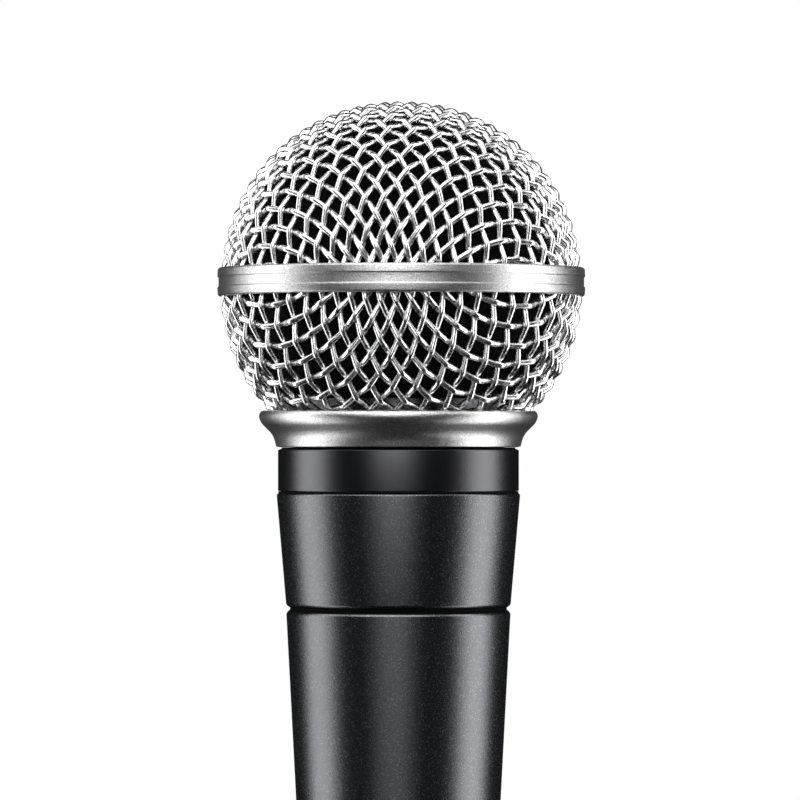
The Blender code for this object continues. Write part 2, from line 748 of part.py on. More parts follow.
def make_potting_ring(material):
    """Set compound that holds the transformer's foot to the handle's bore."""
    high = CORE_LOW - GAP
    return ring("potting_ring", 6.9 * MM, 9.1 * MM, high - 2.3 * MM, high, material)


def smooth_route(points, steps_per_stretch=2):
    """Points along a smooth curve through the given ones."""
    spine = []
    before = [points[0]] + points
    after = points[2:] + [points[-1]]
    for a, b, c, d in zip(before, points, points[1:], after):
        for step in range(steps_per_stretch):
            t = step / steps_per_stretch
            linear, square, cube = c - a, 2 * a - 5 * b + 4 * c - d, 3 * b - a - 3 * c + d
            spine.append(0.5 * (2 * b + linear * t + square * t ** 2 + cube * t ** 3))
    return spine + [points[-1]]


def make_lead(name, route, material):
    """An insulated wire. Its route's points are in millimetres."""
    spine = smooth_route([Vector(point) * MM for point in route])
    curve = bpy.data.curves.new(name, "CURVE")
    curve.dimensions = "3D"
    curve.bevel_depth = LEAD_RADIUS
    curve.bevel_resolution = 2
    curve.use_fill_caps = True
    spline = curve.splines.new("POLY")
    spline.points.add(len(spine) - 1)
    for point, place in zip(spline.points, spine):
        point.co = (*place, 1.0)
    curve.materials.append(material)
    lead = bpy.data.objects.new(name, curve)
    bpy.context.scene.collection.objects.link(lead)
    return lead


def build_grille():
    bright_wire = make_material("bright_wire", (0.86, 0.86, 0.87), 0.16, 1.0)
    satin_nickel = make_material("satin_nickel", (0.72, 0.72, 0.73), 0.3, 1.0)
    foam = make_material("foam", (0.03, 0.03, 0.03), 0.95, 0.0)
    make_grille_dome(bright_wire)
    make_grille_bowl(bright_wire)
    make_grille_band(satin_nickel)
    make_grille_collar(satin_nickel)
    make_foam_windscreen(foam)


def build_housing(black_paint, steel):
    ring_black = make_material("ring_black", (0.02, 0.02, 0.022), 0.35, 0.2)
    rubber = make_material("rubber", (0.02, 0.02, 0.02), 0.8, 0.0)
    make_cartridge_housing(black_paint)
    make_name_ring(ring_black)
    make_shock_mount(rubber)
    make_retaining_ring(steel)


def build_cartridge(black_plastic, steel, brass, copper):
    silk = make_material("silk", (0.3, 0.3, 0.3), 0.8, 0.0)
    magnet_alloy = make_material("magnet_alloy", (0.42, 0.42, 0.44), 0.45, 1.0)
    film = make_material("film", (0.75, 0.72, 0.62), 0.3, 0.0)
    make_resonator_cap(black_plastic)
    make_cap_screen(silk)
    make_cartridge_case(black_plastic)
    make_side_screen(silk)
    make_magnet_yoke(steel)
    make_magnet(magnet_alloy)
    make_pole_piece(steel)
    make_front_plate(steel)
    make_spacer_ring(black_plastic)
    make_diaphragm(film)
    make_voice_coil(copper)
    make_rear_chamber(black_plastic)
    make_terminal_board(black_plastic)
    make_terminal("terminal_green", 1, brass)
    make_terminal("terminal_yellow", -1, brass)


def build_handle(black_paint, black_plastic, steel, brass, copper):
    potting = make_material("amber_potting", (0.6, 0.42, 0.18), 0.5, 0.0)
    make_handle_barrel(black_paint)
    make_socket_insulator(black_plastic)
    for number, place in enumerate(pin_places(), start=1):
        make_contact_pin(f"contact_pin_{number}", place, brass)
    make_lock_screw(steel)
    make_ground_spring(brass)
    make_transformer_core(steel)
    make_transformer_bobbin(black_plastic)
    make_transformer_winding(copper)
    make_potting_ring(potting)


def build_leads():
    green = make_material("green_insulation", (0.05, 0.4, 0.12), 0.5, 0.0)
    yellow = make_material("yellow_insulation", (0.85, 0.68, 0.08), 0.5, 0.0)
    black = make_material("black_insulation", (0.03, 0.03, 0.03), 0.5, 0.0)
    opposite_route = [(-x, -y, z) for x, y, z in CARTRIDGE_LEAD_ROUTE]
    make_lead("lead_green", CARTRIDGE_LEAD_ROUTE, green)
    make_lead("lead_yellow", opposite_route, yellow)
    for number, route in enumerate(PIN_LEAD_ROUTES, start=1):
        make_lead(f"lead_pin_{number}", route, black)


def main():
    clear_scene()
    black_paint = make_material("black_paint", (0.035, 0.037, 0.04), 0.42, 0.3)
    black_plastic = make_material("black_plastic", (0.025, 0.025, 0.027), 0.5, 0.0)
    steel = make_material("steel", (0.5, 0.5, 0.52), 0.35, 1.0)
    brass = make_material("brass", (0.82, 0.66, 0.35), 0.25, 1.0)
    copper = make_material("copper", (0.8, 0.42, 0.25), 0.3, 1.0)
    build_grille()
    build_housing(black_paint, steel)
    build_cartridge(black_plastic, steel, brass, copper)
    build_handle(black_paint, black_plastic, steel, brass, copper)
    build_leads()


main()
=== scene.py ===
"""The microphone's looks: woven wire grille, satin nickel rings and flecked enamel, in a white studio."""
import json
import math

import bmesh
import bpy
import numpy as np
from mathutils import Matrix, Vector


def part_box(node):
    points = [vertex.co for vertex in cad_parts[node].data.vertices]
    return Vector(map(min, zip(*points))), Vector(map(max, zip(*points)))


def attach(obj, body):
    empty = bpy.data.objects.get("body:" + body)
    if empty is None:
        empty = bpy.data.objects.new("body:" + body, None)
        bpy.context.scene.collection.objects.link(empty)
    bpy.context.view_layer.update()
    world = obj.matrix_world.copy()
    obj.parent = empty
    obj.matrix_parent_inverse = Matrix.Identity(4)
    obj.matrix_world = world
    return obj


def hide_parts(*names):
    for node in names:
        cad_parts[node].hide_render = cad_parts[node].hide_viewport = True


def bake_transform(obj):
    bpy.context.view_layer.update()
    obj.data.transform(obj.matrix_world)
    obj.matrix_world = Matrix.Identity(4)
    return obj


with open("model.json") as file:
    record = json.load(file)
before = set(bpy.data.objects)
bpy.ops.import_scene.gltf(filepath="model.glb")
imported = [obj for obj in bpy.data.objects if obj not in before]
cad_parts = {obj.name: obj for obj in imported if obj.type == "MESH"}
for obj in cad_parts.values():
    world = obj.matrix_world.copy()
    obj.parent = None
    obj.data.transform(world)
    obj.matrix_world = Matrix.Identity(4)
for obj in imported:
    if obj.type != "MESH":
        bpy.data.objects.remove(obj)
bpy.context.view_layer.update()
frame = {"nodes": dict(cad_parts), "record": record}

MM = 0.001

# ---------------------------------------------------------------- sizes, from the frame

DOME_LOW, DOME_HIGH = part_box("grille_dome")
BOWL_LOW, BOWL_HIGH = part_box("grille_bowl")
BAND_LOW, BAND_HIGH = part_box("grille_band")
COLLAR_LOW, COLLAR_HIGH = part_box("grille_collar")
FOAM_LOW, FOAM_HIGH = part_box("foam_windscreen")
HOUSING_LOW, HOUSING_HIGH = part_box("cartridge_housing")
RING_LOW, RING_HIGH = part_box("name_ring")
_, BARREL_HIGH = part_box("handle_barrel")
SCREW_LOW, SCREW_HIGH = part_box("lock_screw")

GAP = 0.3 * MM
BALL_TOP = DOME_HIGH.z
BALL_LEVEL = (BAND_LOW.z + BAND_HIGH.z) / 2
BALL_RADIUS = DOME_HIGH.x + 0.05 * MM  # the wires' crowns stand proud of the plain shell
BALL_POWER = 2.06  # both halves are superellipses turned round the axis
BAND_RADIUS = BAND_HIGH.x
COLLAR_TOP = COLLAR_HIGH.z
COLLAR_FOOT = COLLAR_LOW.z
RING_RADIUS = RING_HIGH.x
RING_TOP = RING_HIGH.z
RING_FOOT = RING_LOW.z - GAP
RING_BED = 15.7 * MM
HANDLE_TOP = BARREL_HIGH.z
HANDLE_TOP_RADIUS = 15.52 * MM
HANDLE_END_RADIUS = 11.5 * MM
HOUSING_FOOT = HANDLE_TOP + GAP
SOCKET_RADIUS = 8.3 * MM

# Threads
THREAD_PITCH = 1.25 * MM
THREAD_DEPTH = 0.6 * MM
THREAD_PLAY = 0.25 * MM
NECK_THREAD_ROOT = 14.7 * MM
NECK_THREAD_LOW = COLLAR_FOOT + GAP
SPIGOT_THREAD_ROOT = 13.1 * MM
SPIGOT_THREAD_LOW = HANDLE_TOP - 5.55 * MM

# Leads: the stretch at the upper end that bends aside, how far aside, and how far up the terminal it reaches
LEAD_END = 5.0 * MM
LEAD_ASIDE = 1.1 * MM
LEAD_OVERLAP = 0.8 * MM

# Woven wire. Each half was pressed from its own square of cloth, so it has its own shape and weave.
WIRE_RADIUS = 0.43 * MM
WIRE_SIDES = 10
WIRE_BENDS = (0.0, 0.06, 0.12, 0.5, 0.88, 0.94)  # where a wire has points, as shares of one cell
WIRE_LENGTH = 44 * MM  # enough from a half's pole to its rim and past it
MESH_DEPTH = 2 * WIRE_RADIUS  # from the wires' middle surface to their crowns
DOME_LEVEL = BALL_LEVEL - 0.25 * MM
DOME_RADIUS = BALL_RADIUS + 0.15 * MM
BOWL_LEVEL = BALL_LEVEL - 0.45 * MM
BOWL_RADIUS = BALL_RADIUS + 0.3 * MM
BOWL_DEPTH = BOWL_LEVEL - 111.4 * MM
UPPER_CLOTH = {
    "pitches": (2.609 * MM, 2.625 * MM),
    "bias": math.radians(-95.17),
    "middle": (1.44 * MM, -0.94 * MM),
}
LOWER_CLOTH = {
    "pitches": (2.753 * MM, 2.834 * MM),
    "bias": math.radians(-94.28),
    "middle": (0.77 * MM, 1.73 * MM),
}
BALL_SHIFT = 0.4 * MM  # the ball is crimped to its collar this far off the handle's axis

ROUND_SIDES = 160

# Finishes
NEAR_BLACK = (0.0006, 0.0009, 0.0012)
FLECK_SHARE = 0.05

# Camera and studio
CAMERA_DISTANCE = 830 * MM
CAMERA_LEVEL = 113.5 * MM
AIM = (0.22 * MM, 0.0, 120.6 * MM)
CAMERA_LENS = 269.4
FLOOR_RADIUS = 1.0
FLOOR_THICKNESS = 4 * MM


# ---------------------------------------------------------------- mesh helpers

def add_mesh(name, verts, faces, smooth_angle=40):
    mesh = bpy.data.meshes.new(name)
    mesh.from_pydata(verts, [], faces)
    mesh.validate()
    bm = bmesh.new()
    bm.from_mesh(mesh)
    bmesh.ops.remove_doubles(bm, verts=bm.verts, dist=1e-7)
    bmesh.ops.recalc_face_normals(bm, faces=bm.faces)
    bm.to_mesh(mesh)
    bm.free()
    mesh.shade_smooth()
    mesh.set_sharp_from_angle(angle=math.radians(smooth_angle))
    piece = bpy.data.objects.new(name, mesh)
    bpy.context.scene.collection.objects.link(piece)
    return piece


def rounded(corners, steps=5):
    """Outline points from (radius, level, fillet) corners."""
    points = []
    for before, corner, after in zip(corners[-1:] + corners[:-1], corners, corners[1:] + corners[:1]):
        here = Vector(corner[:2])
        fillet = corner[2]
        if fillet == 0:
            points.append(tuple(here))
            continue
        to_before = (Vector(before[:2]) - here).normalized()
        to_after = (Vector(after[:2]) - here).normalized()
        half_angle = to_before.angle(to_after) / 2
        reach = fillet / math.tan(half_angle)
        start, end = here + to_before * reach, here + to_after * reach
        center = here + (to_before + to_after).normalized() * (fillet / math.sin(half_angle))
        a, b = start - center, end - center
        sweep = a.angle_signed(b)
        for step in range(steps + 1):
            turn = -sweep * step / steps
            cosine, sine = math.cos(turn), math.sin(turn)
            points.append(tuple(center + Vector((a.x * cosine - a.y * sine, a.x * sine + a.y * cosine))))
    return points


def smooth_outline(points, steps=5):
    """A Catmull-Rom curve through (radius, level) points."""
    points = [Vector(point) for point in points]
    padded = [2 * points[0] - points[1]] + points + [2 * points[-1] - points[-2]]
    curve = []
    for index in range(len(points) - 1):
        a, b, c, d = padded[index:index + 4]
        for step in range(steps):
            t = step / steps
            curve.append(0.5 * (2 * b + (c - a) * t + (2 * a - 5 * b + 4 * c - d) * t * t
                                + (3 * b - a - 3 * c + d) * t ** 3))
    return [tuple(point) for point in curve] + [tuple(points[-1])]


def lathe(name, outline, sides=ROUND_SIDES, smooth_angle=40):
    """A closed outline of (radius, level) points turned round the axis, on which it may start and end."""
    verts = []
    for side in range(sides):
        angle = math.tau * side / sides
        verts += [(r * math.cos(angle), r * math.sin(angle), z) for r, z in outline]
    count = len(outline)
    is_open = outline[0][0] == 0
    faces = []
    for side in range(sides):
        left, right = side * count, (side + 1) % sides * count
        for i in range(count - 1 if is_open else count):
            j = (i + 1) % count
            faces.append((left + i, left + j, right + j, right + i))
    return add_mesh(name, verts, faces, smooth_angle)


def thread_column(thread, turn):
    """A thread's (radius, level) points at one angle, in turns. Each row climbs one pitch in a turn."""
    low, high = thread["low"], thread["high"]
    column = []
    shape = (0.0, 0.08, 0.5, 0.92, 1.0, 0.92, 0.5, 0.08)  # rounded roots and crests
    rows = len(shape)
    for row in range(-rows, round((high - low) / THREAD_PITCH + 1) * rows):
        level = low + (row / rows + turn) * THREAD_PITCH
        radius = thread["root"] + THREAD_DEPTH * shape[row % rows]
        if not low < level < high:
            radius = thread["end_radius"]
        column.append((radius, min(max(level, low), high)))
    return column[::-1] if thread["falling"] else column


def male_thread(root, low, turns):
    high = low + turns * THREAD_PITCH
    return {"root": root, "low": low, "high": high, "end_radius": root, "falling": True}


def female_thread(root, low, turns):
    inner = root + THREAD_PLAY
    outer = inner + THREAD_DEPTH
    high = low + turns * THREAD_PITCH
    return {"root": inner, "low": low, "high": high, "end_radius": outer, "falling": False}


def threaded_lathe(name, stretches, sides=ROUND_SIDES):
    """A closed turned solid. Each stretch of its outline is a list of (radius, level) points or a thread."""
    verts, faces = [], []
    for side in range(sides + 1):
        turn = side / sides
        column = []
        for stretch in stretches:
            column += thread_column(stretch, turn) if isinstance(stretch, dict) else stretch
        cosine, sine = math.cos(turn * math.tau), math.sin(turn * math.tau)
        verts += [(r * cosine, r * sine, z) for r, z in column]
    count = len(column)
    for side in range(sides):
        left, right = side * count, (side + 1) * count
        for i in range(count):
            j = (i + 1) % count
            faces.append((left + i, left + j, right + j, right + i))
    return add_mesh(name, verts, faces)


def cut(piece, bm):
    """Cuts the closed bm out of the piece, and keeps only the result."""
    mesh = bpy.data.meshes.new("tool")
    bmesh.ops.recalc_face_normals(bm, faces=bm.faces)
    bm.to_mesh(mesh)
    bm.free()
    tool = bpy.data.objects.new("tool", mesh)
    bpy.context.scene.collection.objects.link(tool)
    modifier = piece.modifiers.new("cut", "BOOLEAN")
    modifier.object = tool
    graph = bpy.context.evaluated_depsgraph_get()
    result = bpy.data.meshes.new_from_object(piece.evaluated_get(graph))
    piece.modifiers.clear()
    piece.data = result
    bpy.data.objects.remove(tool)


def paint_gap_shade(piece, material, radius, top, foot=0.0):
    """Gives the faces within this radius, between the two levels, a second material: a painted shade, matte
    near-black, for the gaps between parts.
    """
    if len(piece.data.materials) == 1:
        piece.data.materials.append(material)
    for face in piece.data.polygons:
        if foot < face.center.z < top and math.hypot(face.center.x, face.center.y) < radius:
            face.material_index = 1


def install(piece, body, material, slot, *nodes):
    """Gives a finished piece its material and body, and hides the CAD nodes it stands for. Its slot is not
    used.
    """
    piece.data.materials.clear()
    piece.data.materials.append(material)
    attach(piece, body)
    if nodes:
        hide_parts(*nodes)
    return piece


# ---------------------------------------------------------------- woven mesh

class BallHalf:
    """One half of the pressed mesh's middle surface, pole up or down, and the cloth it was pressed from."""

    def __init__(self, level, radius, height, side, cloth):
        self.level = level
        self.radius = radius - MESH_DEPTH
        self.height = height - MESH_DEPTH
        self.side = side  # +1 for the upper half, -1 for the lower
        self.pitches = cloth["pitches"]
        self.bias = cloth["bias"]
        self.middle = cloth["middle"]

    def rise(self, point):
        return max(0.0, self.side * (point[2] - self.level))

    def excess(self, point):
        r = math.hypot(point[0], point[1])
        return (r / self.radius) ** BALL_POWER + (self.rise(point) / self.height) ** BALL_POWER - 1

    def slope(self, point):
        r = max(1e-9, math.hypot(point[0], point[1]))
        outward = BALL_POWER * (r / self.radius) ** (BALL_POWER - 1) / self.radius
        upward = BALL_POWER * (self.rise(point) / self.height) ** (BALL_POWER - 1) / self.height * self.side
        return np.array([outward * point[0] / r, outward * point[1] / r, upward])

    def cloth_middle(self):
        x, y = self.middle
        up = self.height * (1 - (math.hypot(x, y) / self.radius) ** BALL_POWER) ** (1 / BALL_POWER)
        return np.array([x, y, self.level + self.side * up])


def settle(surface, point, limits):
    """Moves the point onto the surface and onto two more limits, which give an error and its slope."""
    for _ in range(10):
        errors, slopes = zip(*(limit(point) for limit in limits))
        errors = np.array([*errors, surface.excess(point) * MM * MM])
        slopes = np.array([*slopes, surface.slope(point) * MM * MM])
        point = point - np.linalg.solve(slopes, errors)
    return point


def at_pitch(pitch, neighbour):
    """A limit: one pitch away from the neighbour."""
    def limit(point):
        apart = point - neighbour
        return apart @ apart - pitch ** 2, 2 * apart
    return limit


def on_plane(origin, across):
    """A limit: on the plane through the origin, square to the direction across."""
    def limit(point):
        return across @ (point - origin) * MM, across * MM
    return limit


def straight_wire(surface, heading, pitch, count):
    """Crossing points along the wire that leaves the cloth's middle in this heading."""
    origin = surface.cloth_middle()
    plane = on_plane(origin, np.array([-heading[1], heading[0], 0.0]))
    points = [origin]
    stride = heading * pitch
    for _ in range(count - 1):
        following = settle(surface, points[-1] + stride, [plane, at_pitch(pitch, points[-1])])
        stride = following - points[-1]
        points.append(following)
    return points


def drape_quarter(surface, first, second, pitches, count):
    """Crossing points {(i, j): point} between two straight wires. Cells shear and keep their sides."""
    quarter = {}
    for i in range(count):
        quarter[i, 0] = first[i]
        quarter[0, i] = second[i]
    for i in range(1, count):
        for j in range(1, count):
            corners = [quarter.get(key) for key in ((i - 1, j), (i, j - 1), (i - 1, j - 1))]
            if any(corner is None for corner in corners):
                continue
            a, b, opposite = corners
            fallen = min(surface.side * (a[2] - surface.level), surface.side * (b[2] - surface.level))
            if fallen < -3 * pitches[0] or np.linalg.norm(a - b) > 0.975 * sum(pitches):
                continue
            limits = [at_pitch(pitches[0], a), at_pitch(pitches[1], b)]
            quarter[i, j] = settle(surface, a + b - opposite, limits)
    return quarter


def drape_cloth(surface, count):
    """All crossing points of the cloth on its half of the ball, as {(i, j): point}."""
    wires = []
    for quarter_turn in range(4):
        angle = surface.bias + math.radians(45) + quarter_turn * math.pi / 2
        heading = np.array([math.cos(angle), math.sin(angle), 0.0])
        wires.append(straight_wire(surface, heading, surface.pitches[quarter_turn % 2], count))
    cloth = {}
    for quarter_turn in range(4):
        first, second = wires[quarter_turn], wires[(quarter_turn + 1) % 4]
        pitches = surface.pitches if quarter_turn % 2 == 0 else surface.pitches[::-1]
        for (i, j), point in drape_quarter(surface, first, second, pitches, count).items():
            for _ in range(quarter_turn):
                i, j = -j, i
            cloth[i, j] = point
    return cloth


def smooth_path(points):
    """Catmull-Rom points at the bends, and each one's place along the line counted in crossings."""
    padded = [2 * points[0] - points[1]] + points + [2 * points[-1] - points[-2]]
    for index in range(len(points) - 1):
        a, b, c, d = padded[index:index + 4]
        for t in WIRE_BENDS:
            linear, square, cube = c - a, 2 * a - 5 * b + 4 * c - d, 3 * b - a - 3 * c + d
            yield index + t, 0.5 * (2 * b + linear * t + square * t * t + cube * t ** 3)
    yield len(points) - 1, points[-1]


def wire_lift(place, pitch):
    """How far a wire stands off the middle surface: bent round each wire it crosses, straight between."""
    reach = abs(place - round(place)) * pitch
    half = pitch / 2
    slant = math.asin(2 * WIRE_RADIUS / math.hypot(half, WIRE_RADIUS)) - math.atan(WIRE_RADIUS / half)
    if reach < 2 * WIRE_RADIUS * math.sin(slant):
        lift = math.sqrt(4 * WIRE_RADIUS ** 2 - reach ** 2) - WIRE_RADIUS
    else:
        lift = (half - reach) * math.tan(slant)
    return lift if round(place) % 2 == 0 else -lift


def wire_path(surface, points, pitch, first_sign):
    """The bent wire's middle line: over one crossing wire and under the next."""
    path = []
    for place, point in smooth_path(points):
        normal = surface.slope(point)
        normal = normal / np.linalg.norm(normal)
        path.append(point + normal * first_sign * wire_lift(place, pitch))
    return path


def clipped(path, low, high):
    """The stretches of a path that lie between two levels."""
    run = []
    for start, end in zip(path, path[1:]):
        span = end[2] - start[2]
        cuts = sorted((level - start[2]) / span for level in (low, high)) if abs(span) > 1e-9 else [-1.0, 2.0]
        enter, leave = max(0.0, cuts[0]), min(1.0, cuts[1])
        if enter >= leave:
            if len(run) > 2:
                yield run
            run = []
            continue
        if not run or enter > 0:
            if len(run) > 2:
                yield run
            run = [start + (end - start) * enter]
        run.append(start + (end - start) * leave)
        if leave < 1:
            if len(run) > 2:
                yield run
            run = []
    if len(run) > 2:
        yield run


def tube(path, radius, sides, verts, faces):
    """Adds a closed round tube along the path."""
    first = len(verts)
    tangents = [path[1] - path[0]]
    tangents += [after - before for before, after in zip(path, path[2:])]
    tangents.append(path[-1] - path[-2])
    side = np.cross(tangents[0], [0.3, 0.2, 0.9])
    for point, tangent in zip(path, tangents):
        tangent = tangent / np.linalg.norm(tangent)
        side = side - tangent * (side @ tangent)
        side = side / np.linalg.norm(side)
        other = np.cross(tangent, side)
        for k in range(sides):
            angle = math.tau * k / sides
            verts.append(point + radius * (math.cos(angle) * side + math.sin(angle) * other))
    for ring in range(len(path) - 1):
        low = first + ring * sides
        for k in range(sides):
            n = (k + 1) % sides
            faces.append((low + k, low + n, low + sides + n, low + sides + k))
    faces.append(tuple(range(first + sides - 1, first - 1, -1)))
    last = first + (len(path) - 1) * sides
    faces.append(tuple(range(last, last + sides)))


def wire_lines(cloth, count):
    """Every wire's run of crossings, its direction in the cloth, and the sign of its first bend."""
    for family in (0, 1):
        for fixed in range(-count, count + 1):
            run, first = [], 0
            for moving in range(-count, count + 2):
                key = (moving, fixed) if family == 0 else (fixed, moving)
                if key in cloth:
                    first = moving if not run else first
                    run.append(cloth[key])
                    continue
                if len(run) > 1:
                    yield run, family, 1 if (first + fixed + family) % 2 == 0 else -1
                run = []


def make_mesh_half(name, surface, low, high):
    """All the wires of one half of the ball, between two levels."""
    count = math.ceil(WIRE_LENGTH / min(surface.pitches)) + 1
    verts, faces = [], []
    for points, family, sign in wire_lines(drape_cloth(surface, count), count):
        for path in clipped(wire_path(surface, points, surface.pitches[family], sign), low, high):
            tube(path, WIRE_RADIUS, WIRE_SIDES, verts, faces)
    mesh = bpy.data.meshes.new(name)
    mesh.from_pydata([tuple(v) for v in verts], [], faces)
    mesh.shade_smooth()
    mesh.set_sharp_from_angle(angle=math.radians(60))
    mesh.transform(Matrix.Translation((BALL_SHIFT, 0, 0)))
    piece = bpy.data.objects.new(name, mesh)
    bpy.context.scene.collection.objects.link(piece)
    return piece


def make_grille_mesh(material):
    upper = BallHalf(DOME_LEVEL, DOME_RADIUS, BALL_TOP - DOME_LEVEL, 1, UPPER_CLOTH)
    lower = BallHalf(BOWL_LEVEL, BOWL_RADIUS, BOWL_DEPTH, -1, LOWER_CLOTH)
    dome = make_mesh_half("woven_dome", upper, DOME_LOW.z, BALL_TOP)
    bowl = make_mesh_half("woven_bowl", lower, BOWL_LOW.z, BOWL_HIGH.z)
    install(dome, "grille", material, "bright_wire", "grille_dome")
    install(bowl, "grille", material, "bright_wire", "grille_bowl")


# ---------------------------------------------------------------- grille's other pieces

def make_band(material):
    """Two crowned beads with a shallow waist between, and the web inside that parts the mesh."""
    half = (BAND_HIGH.z - BAND_LOW.z) / 2
    bead, waist_depth = 0.7 * MM, 0.16 * MM
    crown = 0.07 * MM
    web = 0.7 * MM
    skin = BALL_RADIUS + 0.15 * MM
    waist = BAND_RADIUS - waist_depth
    inner = BALL_RADIUS - 1.5 * MM
    upper = [
        (skin, web, 0),
        (skin, half, 0.1 * MM),
        (BAND_RADIUS - crown, half, 0.35 * MM),
        (BAND_RADIUS, bead + 0.15 * MM, 0.3 * MM),
        (BAND_RADIUS - 0.03 * MM, bead, 0.1 * MM),
        (waist, bead - 0.06 * MM, 0.05 * MM),
    ]
    lower = [(r, -z, fillet) for r, z, fillet in reversed(upper)]
    corners = upper + lower + [(inner, -web, 0), (inner, web, 0)]
    outline = [(r, BALL_LEVEL + z) for r, z in rounded(corners)]
    band = lathe("equator_band", outline, 256, 30)
    band.data.transform(Matrix.Translation((BALL_SHIFT, 0, 0)))
    install(band, "grille", material, "satin_nickel", "grille_band")


def make_collar(material):
    """A rounded lip over a hollow flare, with the female thread inside."""
    outside = [(r * MM, COLLAR_TOP - drop * MM) for r, drop in (
        (18.1, 0.75),
        (18.4, 0.05),
        (18.75, 0.0),
        (19.1, 0.15),
        (19.33, 0.7),
        (19.2, 1.3),
        (18.88, 1.85),
        (18.34, 2.4),
        (17.8, 2.95),
        (17.41, 3.5),
        (17.19, 4.05),
        (17.04, 4.6),
        (16.95, 4.95),
    )]
    outside = smooth_outline(outside)
    foot = [(16.82 * MM, COLLAR_FOOT + 0.08 * MM), (16.5 * MM, COLLAR_FOOT), (RING_BED, COLLAR_FOOT)]
    thread = female_thread(NECK_THREAD_ROOT, NECK_THREAD_LOW, 2.75)
    shelf = [(RING_BED, COLLAR_TOP - 0.8 * MM)]
    collar = threaded_lathe("mesh_collar", [outside, foot, thread, shelf])
    install(collar, "grille", material, "satin_nickel", "grille_collar")


def make_foam(material):
    """The foam liner, with the fine pits of open-cell foam."""
    radius = BALL_RADIUS - 4 * WIRE_RADIUS - 0.1 * MM
    height = FOAM_HIGH.z - BALL_LEVEL
    depth = BOWL_DEPTH - (BALL_TOP - FOAM_HIGH.z)
    thickness = 2.5 * MM
    outline = []
    steps = 40
    sink = (BALL_LEVEL - FOAM_LOW.z) / depth
    for shell, direction in ((0.0, 1), (thickness, -1)):
        curve = []
        lowest = -math.asin(min(1.0, sink * depth / (depth - shell)) ** (BALL_POWER / 2))
        for step in range(steps + 1):
            angle = math.pi / 2 + (lowest - math.pi / 2) * step / steps
            across = max(0.0, math.cos(angle)) ** (2 / BALL_POWER)
            up = abs(math.sin(angle)) ** (2 / BALL_POWER) * (1 if angle > 0 else -1)
            tall = (height if angle > 0 else depth) - shell
            curve.append(((radius - shell) * across if step else 0.0, BALL_LEVEL + tall * up))
        outline += curve[::direction]
    foam = lathe("foam_liner", outline, 128)
    install(foam, "windscreen", material, "foam", "foam_windscreen")


# ---------------------------------------------------------------- housing and handle

def make_housing(material, gap_shade_material):
    """The upper section, from its threaded neck down to the spigot inside the handle."""
    chamfer = 0.25 * MM
    neck_top, neck_radius, bore = HOUSING_HIGH.z, 14.6 * MM, 13.5 * MM
    neck = [
        (bore, neck_top),
        (neck_radius - chamfer, neck_top),
        (neck_radius, neck_top - chamfer),
        (neck_radius, NECK_THREAD_LOW + 3.5 * THREAD_PITCH),
    ]
    neck_thread = male_thread(NECK_THREAD_ROOT, NECK_THREAD_LOW, 3)
    top_radius, foot_radius = RING_RADIUS + 0.2 * MM, HANDLE_TOP_RADIUS + 0.05 * MM
    groove_radius = HANDLE_TOP_RADIUS - 0.5 * MM
    shell = rounded([
        (NECK_THREAD_ROOT, RING_TOP, 0),
        (RING_BED, RING_TOP, 0),
        (RING_BED, RING_LOW.z - 0.05 * MM, 0),
        (RING_RADIUS - 0.06 * MM, RING_LOW.z - 0.05 * MM, 0),
        (RING_RADIUS - 0.06 * MM, RING_FOOT, 0),
        (top_radius, RING_FOOT, 0.35 * MM),
        (foot_radius, HOUSING_FOOT + 0.5 * MM, 0.4 * MM),
        (foot_radius - 0.2 * MM, HOUSING_FOOT + 0.25 * MM, 0.2 * MM),
        (groove_radius, HOUSING_FOOT, 0),
        (groove_radius, HANDLE_TOP + 0.04 * MM, 0),
        (SPIGOT_THREAD_ROOT, HANDLE_TOP + 0.04 * MM, 0),
    ])
    spigot_thread = male_thread(SPIGOT_THREAD_ROOT, SPIGOT_THREAD_LOW, 4)
    spigot_low, spigot_bore = HOUSING_LOW.z, 11.9 * MM
    ledge_high = 103.8 * MM
    inside = [
        (SPIGOT_THREAD_ROOT - GAP, SPIGOT_THREAD_LOW),
        (SPIGOT_THREAD_ROOT - GAP, spigot_low),
        (spigot_bore, spigot_low),
        (spigot_bore, HOUSING_FOOT + 1.35 * MM),
        (bore, HOUSING_FOOT + 3.15 * MM),
        (bore, ledge_high - 1.0 * MM),
        (bore - 0.9 * MM, ledge_high - 1.0 * MM),
        (bore - 0.9 * MM, ledge_high),
        (bore, ledge_high),
    ]
    housing = threaded_lathe("housing_shell", [neck, neck_thread, shell, spigot_thread, inside])
    install(housing, "housing", material, "black_paint", "cartridge_housing")
    # Painted shade: the groove under the housing, the spigot with its bore, and the bed under the ring's foot
    # are matte near-black.
    paint_gap_shade(housing, gap_shade_material, foot_radius - 0.15 * MM, HOUSING_FOOT + 0.3 * MM)
    paint_gap_shade(housing, gap_shade_material, RING_RADIUS - 0.05 * MM, RING_LOW.z, RING_FOOT + 0.01 * MM)


def make_ring(material, gap_shade_material):
    """The plain ring, with a painted shade, matte near-black, on the step under the collar's foot."""
    foot, bore, shoulder = RING_LOW.z, RING_BED + GAP, RING_TOP
    step_radius, step_top = RING_RADIUS - 0.5 * MM, COLLAR_FOOT - 0.03 * MM
    outline = rounded([
        (bore, foot, 0),
        (bore, step_top, 0),
        (step_radius, step_top, 0),
        (step_radius, shoulder + 0.22 * MM, 0),
        (RING_RADIUS, shoulder, 0.12 * MM),
        (RING_RADIUS, foot, 0.1 * MM),
    ])
    ring = lathe("plain_ring", outline)
    install(ring, "housing", material, "ring_black", "name_ring")
    # Painted shade: the step under the collar's foot and the ring's bore are matte near-black.
    paint_gap_shade(ring, gap_shade_material, step_radius + 0.01 * MM, BALL_LEVEL)


